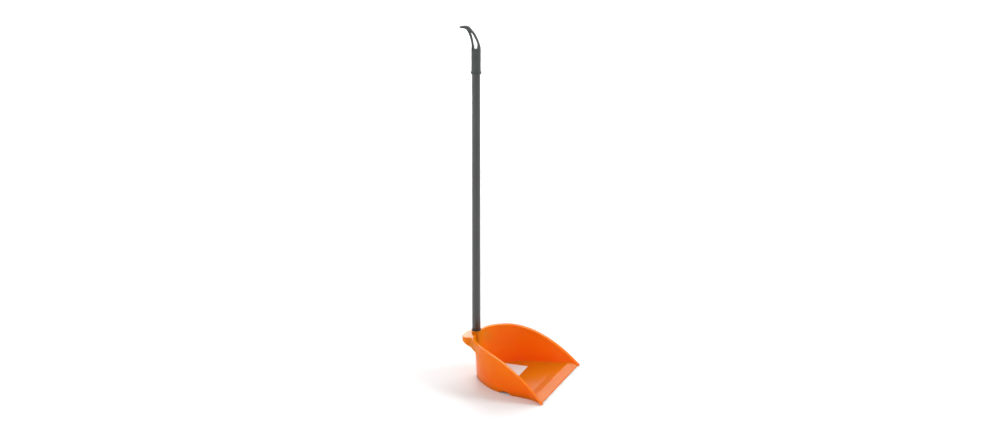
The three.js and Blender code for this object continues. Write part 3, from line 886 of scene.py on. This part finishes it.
def textured_plastic(name, dark, light, roughness):
    material, tree, shader, where = new_material(name)
    drift = noise(tree, where, 40, 3)
    texture = noise(tree, where, PLASTIC_GRAIN, 3)
    rubs = noise(tree, where, 220, 4, (1, 1, 0.25))
    colour = ramp(tree, drift, [(0.3, dark), (0.7, light)])
    worn = grey_range(tree, rubs, 0.0, 0.3, 0.62, 0.8)
    paler = tuple(min(1.0, channel * 1.7 + 0.02) for channel in light) + (1,)
    tree.links.new(blend_colours(tree, worn, colour, paler), shader.inputs["Base Color"])
    tree.links.new(grey_range(tree, texture, roughness - 0.06, roughness + 0.06), shader.inputs["Roughness"])
    shader.inputs["IOR"].default_value = 1.5
    bump(tree, shader, [(texture, 0.3, 0.00012)])
    return material


def soft_vinyl():
    material, tree, shader, where = new_material("soft_pale_vinyl")
    drift = noise(tree, where, 45, 3)
    grime = noise(tree, where, 160, 4, (0.25, 1, 1))
    colour = ramp(tree, drift, [(0.3, (0.66, 0.68, 0.64)), (0.7, (0.76, 0.77, 0.74))])
    dirt = grey_range(tree, grime, 0.0, 0.4, 0.58, 0.78)
    colour = blend_colours(tree, dirt, colour, (0.5, 0.49, 0.46, 1))
    tree.links.new(colour, shader.inputs["Base Color"])
    tree.links.new(grey_range(tree, grime, 0.35, 0.55), shader.inputs["Roughness"])
    shader.inputs["Subsurface Weight"].default_value = 0.3
    shader.inputs["Subsurface Radius"].default_value = (1.0, 0.9, 0.8)
    shader.inputs["Subsurface Scale"].default_value = 0.002
    bump(tree, shader, [(grime, 0.2, 0.0002)])
    return material


def label_paper():
    """Blank white paper with faint fibres."""
    material, tree, shader, where = new_material("blank_label_paper")
    fibres = noise(tree, where, 900, 4, (1, 2.5, 1))
    colour = ramp(tree, fibres, [(0.3, (0.76, 0.74, 0.745)), (0.7, (0.84, 0.82, 0.825))])
    tree.links.new(colour, shader.inputs["Base Color"])
    tree.links.new(grey_range(tree, fibres, 0.5, 0.65), shader.inputs["Roughness"])
    bump(tree, shader, [(fibres, 0.15, 0.0001)])
    return material


def pale_floor():
    material, tree, shader, where = new_material("pale_studio_floor")
    drift = noise(tree, where, 0.8, 2)
    colour = ramp(tree, drift, [(0.3, (0.93, 0.93, 0.93)), (0.7, (0.95, 0.95, 0.95))])
    tree.links.new(colour, shader.inputs["Base Color"])
    shader.inputs["Roughness"].default_value = 0.5
    shader.inputs["Specular IOR Level"].default_value = 0.15
    return material


def place(obj, name, material, body, node):
    obj.name = name
    obj.data.name = name
    obj.data.materials.clear()
    obj.data.materials.append(material)
    obj.data.polygons.foreach_set("material_index", [0] * len(obj.data.polygons))
    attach(obj, body)
    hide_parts(node)


place(pan(), "pan_moulding", orange_plastic(), "pan_body", "pan")
place(soft_strip(), "soft_lip_blade", soft_vinyl(), "pan_body", "soft_lip_strip")
place(label(), "paper_label", label_paper(), "pan_body", "floor_label")
black = textured_plastic("black_nylon", (0.012, 0.013, 0.013), (0.02, 0.021, 0.021), 0.5)
place(ferrule(), "screw_ferrule", black, "ferrule_body", "threaded_ferrule")
place(tube(), "painted_tube", painted_steel(), "handle_body", "handle_tube")
grey = textured_plastic("grey_green_plastic", (0.04, 0.051, 0.047), (0.052, 0.064, 0.06), 0.42)
place(cap(), "hanging_cap", grey, "handle_body", "hanger_cap")


# ---- Stage: floor, lights, camera ----
CAMERA_AZIMUTH = -69.8
CAMERA_ELEVATION = 21.7
LENS = 400
SENSOR = 36
CLIP_END = 100
VIEW_WIDTH = 2.3256  # how much the picture's width takes in at the target, in metres
TARGET = Vector((0, 0.032, 0.402))
STUDIO_HALF = 15
WORLD_STRENGTH = 0.61
LIGHT_DISTANCE = 3.0


def studio():
    half = STUDIO_HALF
    corners = [(-half, -half, 0), (half, -half, 0), (half, half, 0), (-half, half, 0)]
    mesh = bpy.data.meshes.new("studio_floor")
    mesh.from_pydata(corners, [], [(0, 1, 2, 3)])
    floor = bpy.data.objects.new("studio_floor", mesh)
    bpy.context.scene.collection.objects.link(floor)
    mesh.materials.append(pale_floor())
    world = bpy.data.worlds.new("studio_world")
    bpy.context.scene.world = world
    world.use_nodes = True
    background = world.node_tree.nodes["Background"]
    background.inputs["Color"].default_value = (1, 1, 1, 1)
    background.inputs["Strength"].default_value = WORLD_STRENGTH


def add_turned(obj, away):
    """Puts a light or camera in the scene, looking against the direction `away`."""
    obj.rotation_mode = "QUATERNION"
    obj.rotation_quaternion = away.to_track_quat("Z", "Y")
    bpy.context.scene.collection.objects.link(obj)


def soft_light(name, towards, size, power):
    light = bpy.data.lights.new(name, "AREA")
    light.shape = "DISK"
    light.size = size
    light.energy = power
    obj = bpy.data.objects.new(name, light)
    away = Vector(towards).normalized()
    obj.location = TARGET + away * LIGHT_DISTANCE
    add_turned(obj, away)


def broad_key(name, towards, spread, strength):
    light = bpy.data.lights.new(name, "SUN")
    light.angle = math.radians(spread)
    light.energy = strength
    add_turned(bpy.data.objects.new(name, light), Vector(towards).normalized())


def camera():
    data = bpy.data.cameras.new("camera")
    data.sensor_width = SENSOR
    data.lens = LENS
    data.clip_end = CLIP_END
    obj = bpy.data.objects.new("camera", data)
    azimuth, elevation = math.radians(CAMERA_AZIMUTH), math.radians(CAMERA_ELEVATION)
    flat = math.cos(elevation)
    back = Vector((math.sin(azimuth) * flat, -math.cos(azimuth) * flat, math.sin(elevation)))
    obj.location = TARGET + back * (VIEW_WIDTH * LENS / SENSOR)
    add_turned(obj, back)
    bpy.context.scene.camera = obj


camera()
studio()
broad_key("key", (0.345, -0.94, 0.65), 25, 1.35)
soft_light("far_softbox", (0.83, -0.117, 0.545), 1.7, 27)
soft_light("low_softbox", (0.857, 0.495, 0.14), 0.9, 11)
soft_light("high_softbox", (0.842, 0.29, 0.454), 0.7, 13)
soft_light("left_fill", (-0.75, 0.55, 0.45), 1.4, 20)
bpy.context.scene.view_settings.view_transform = "Standard"
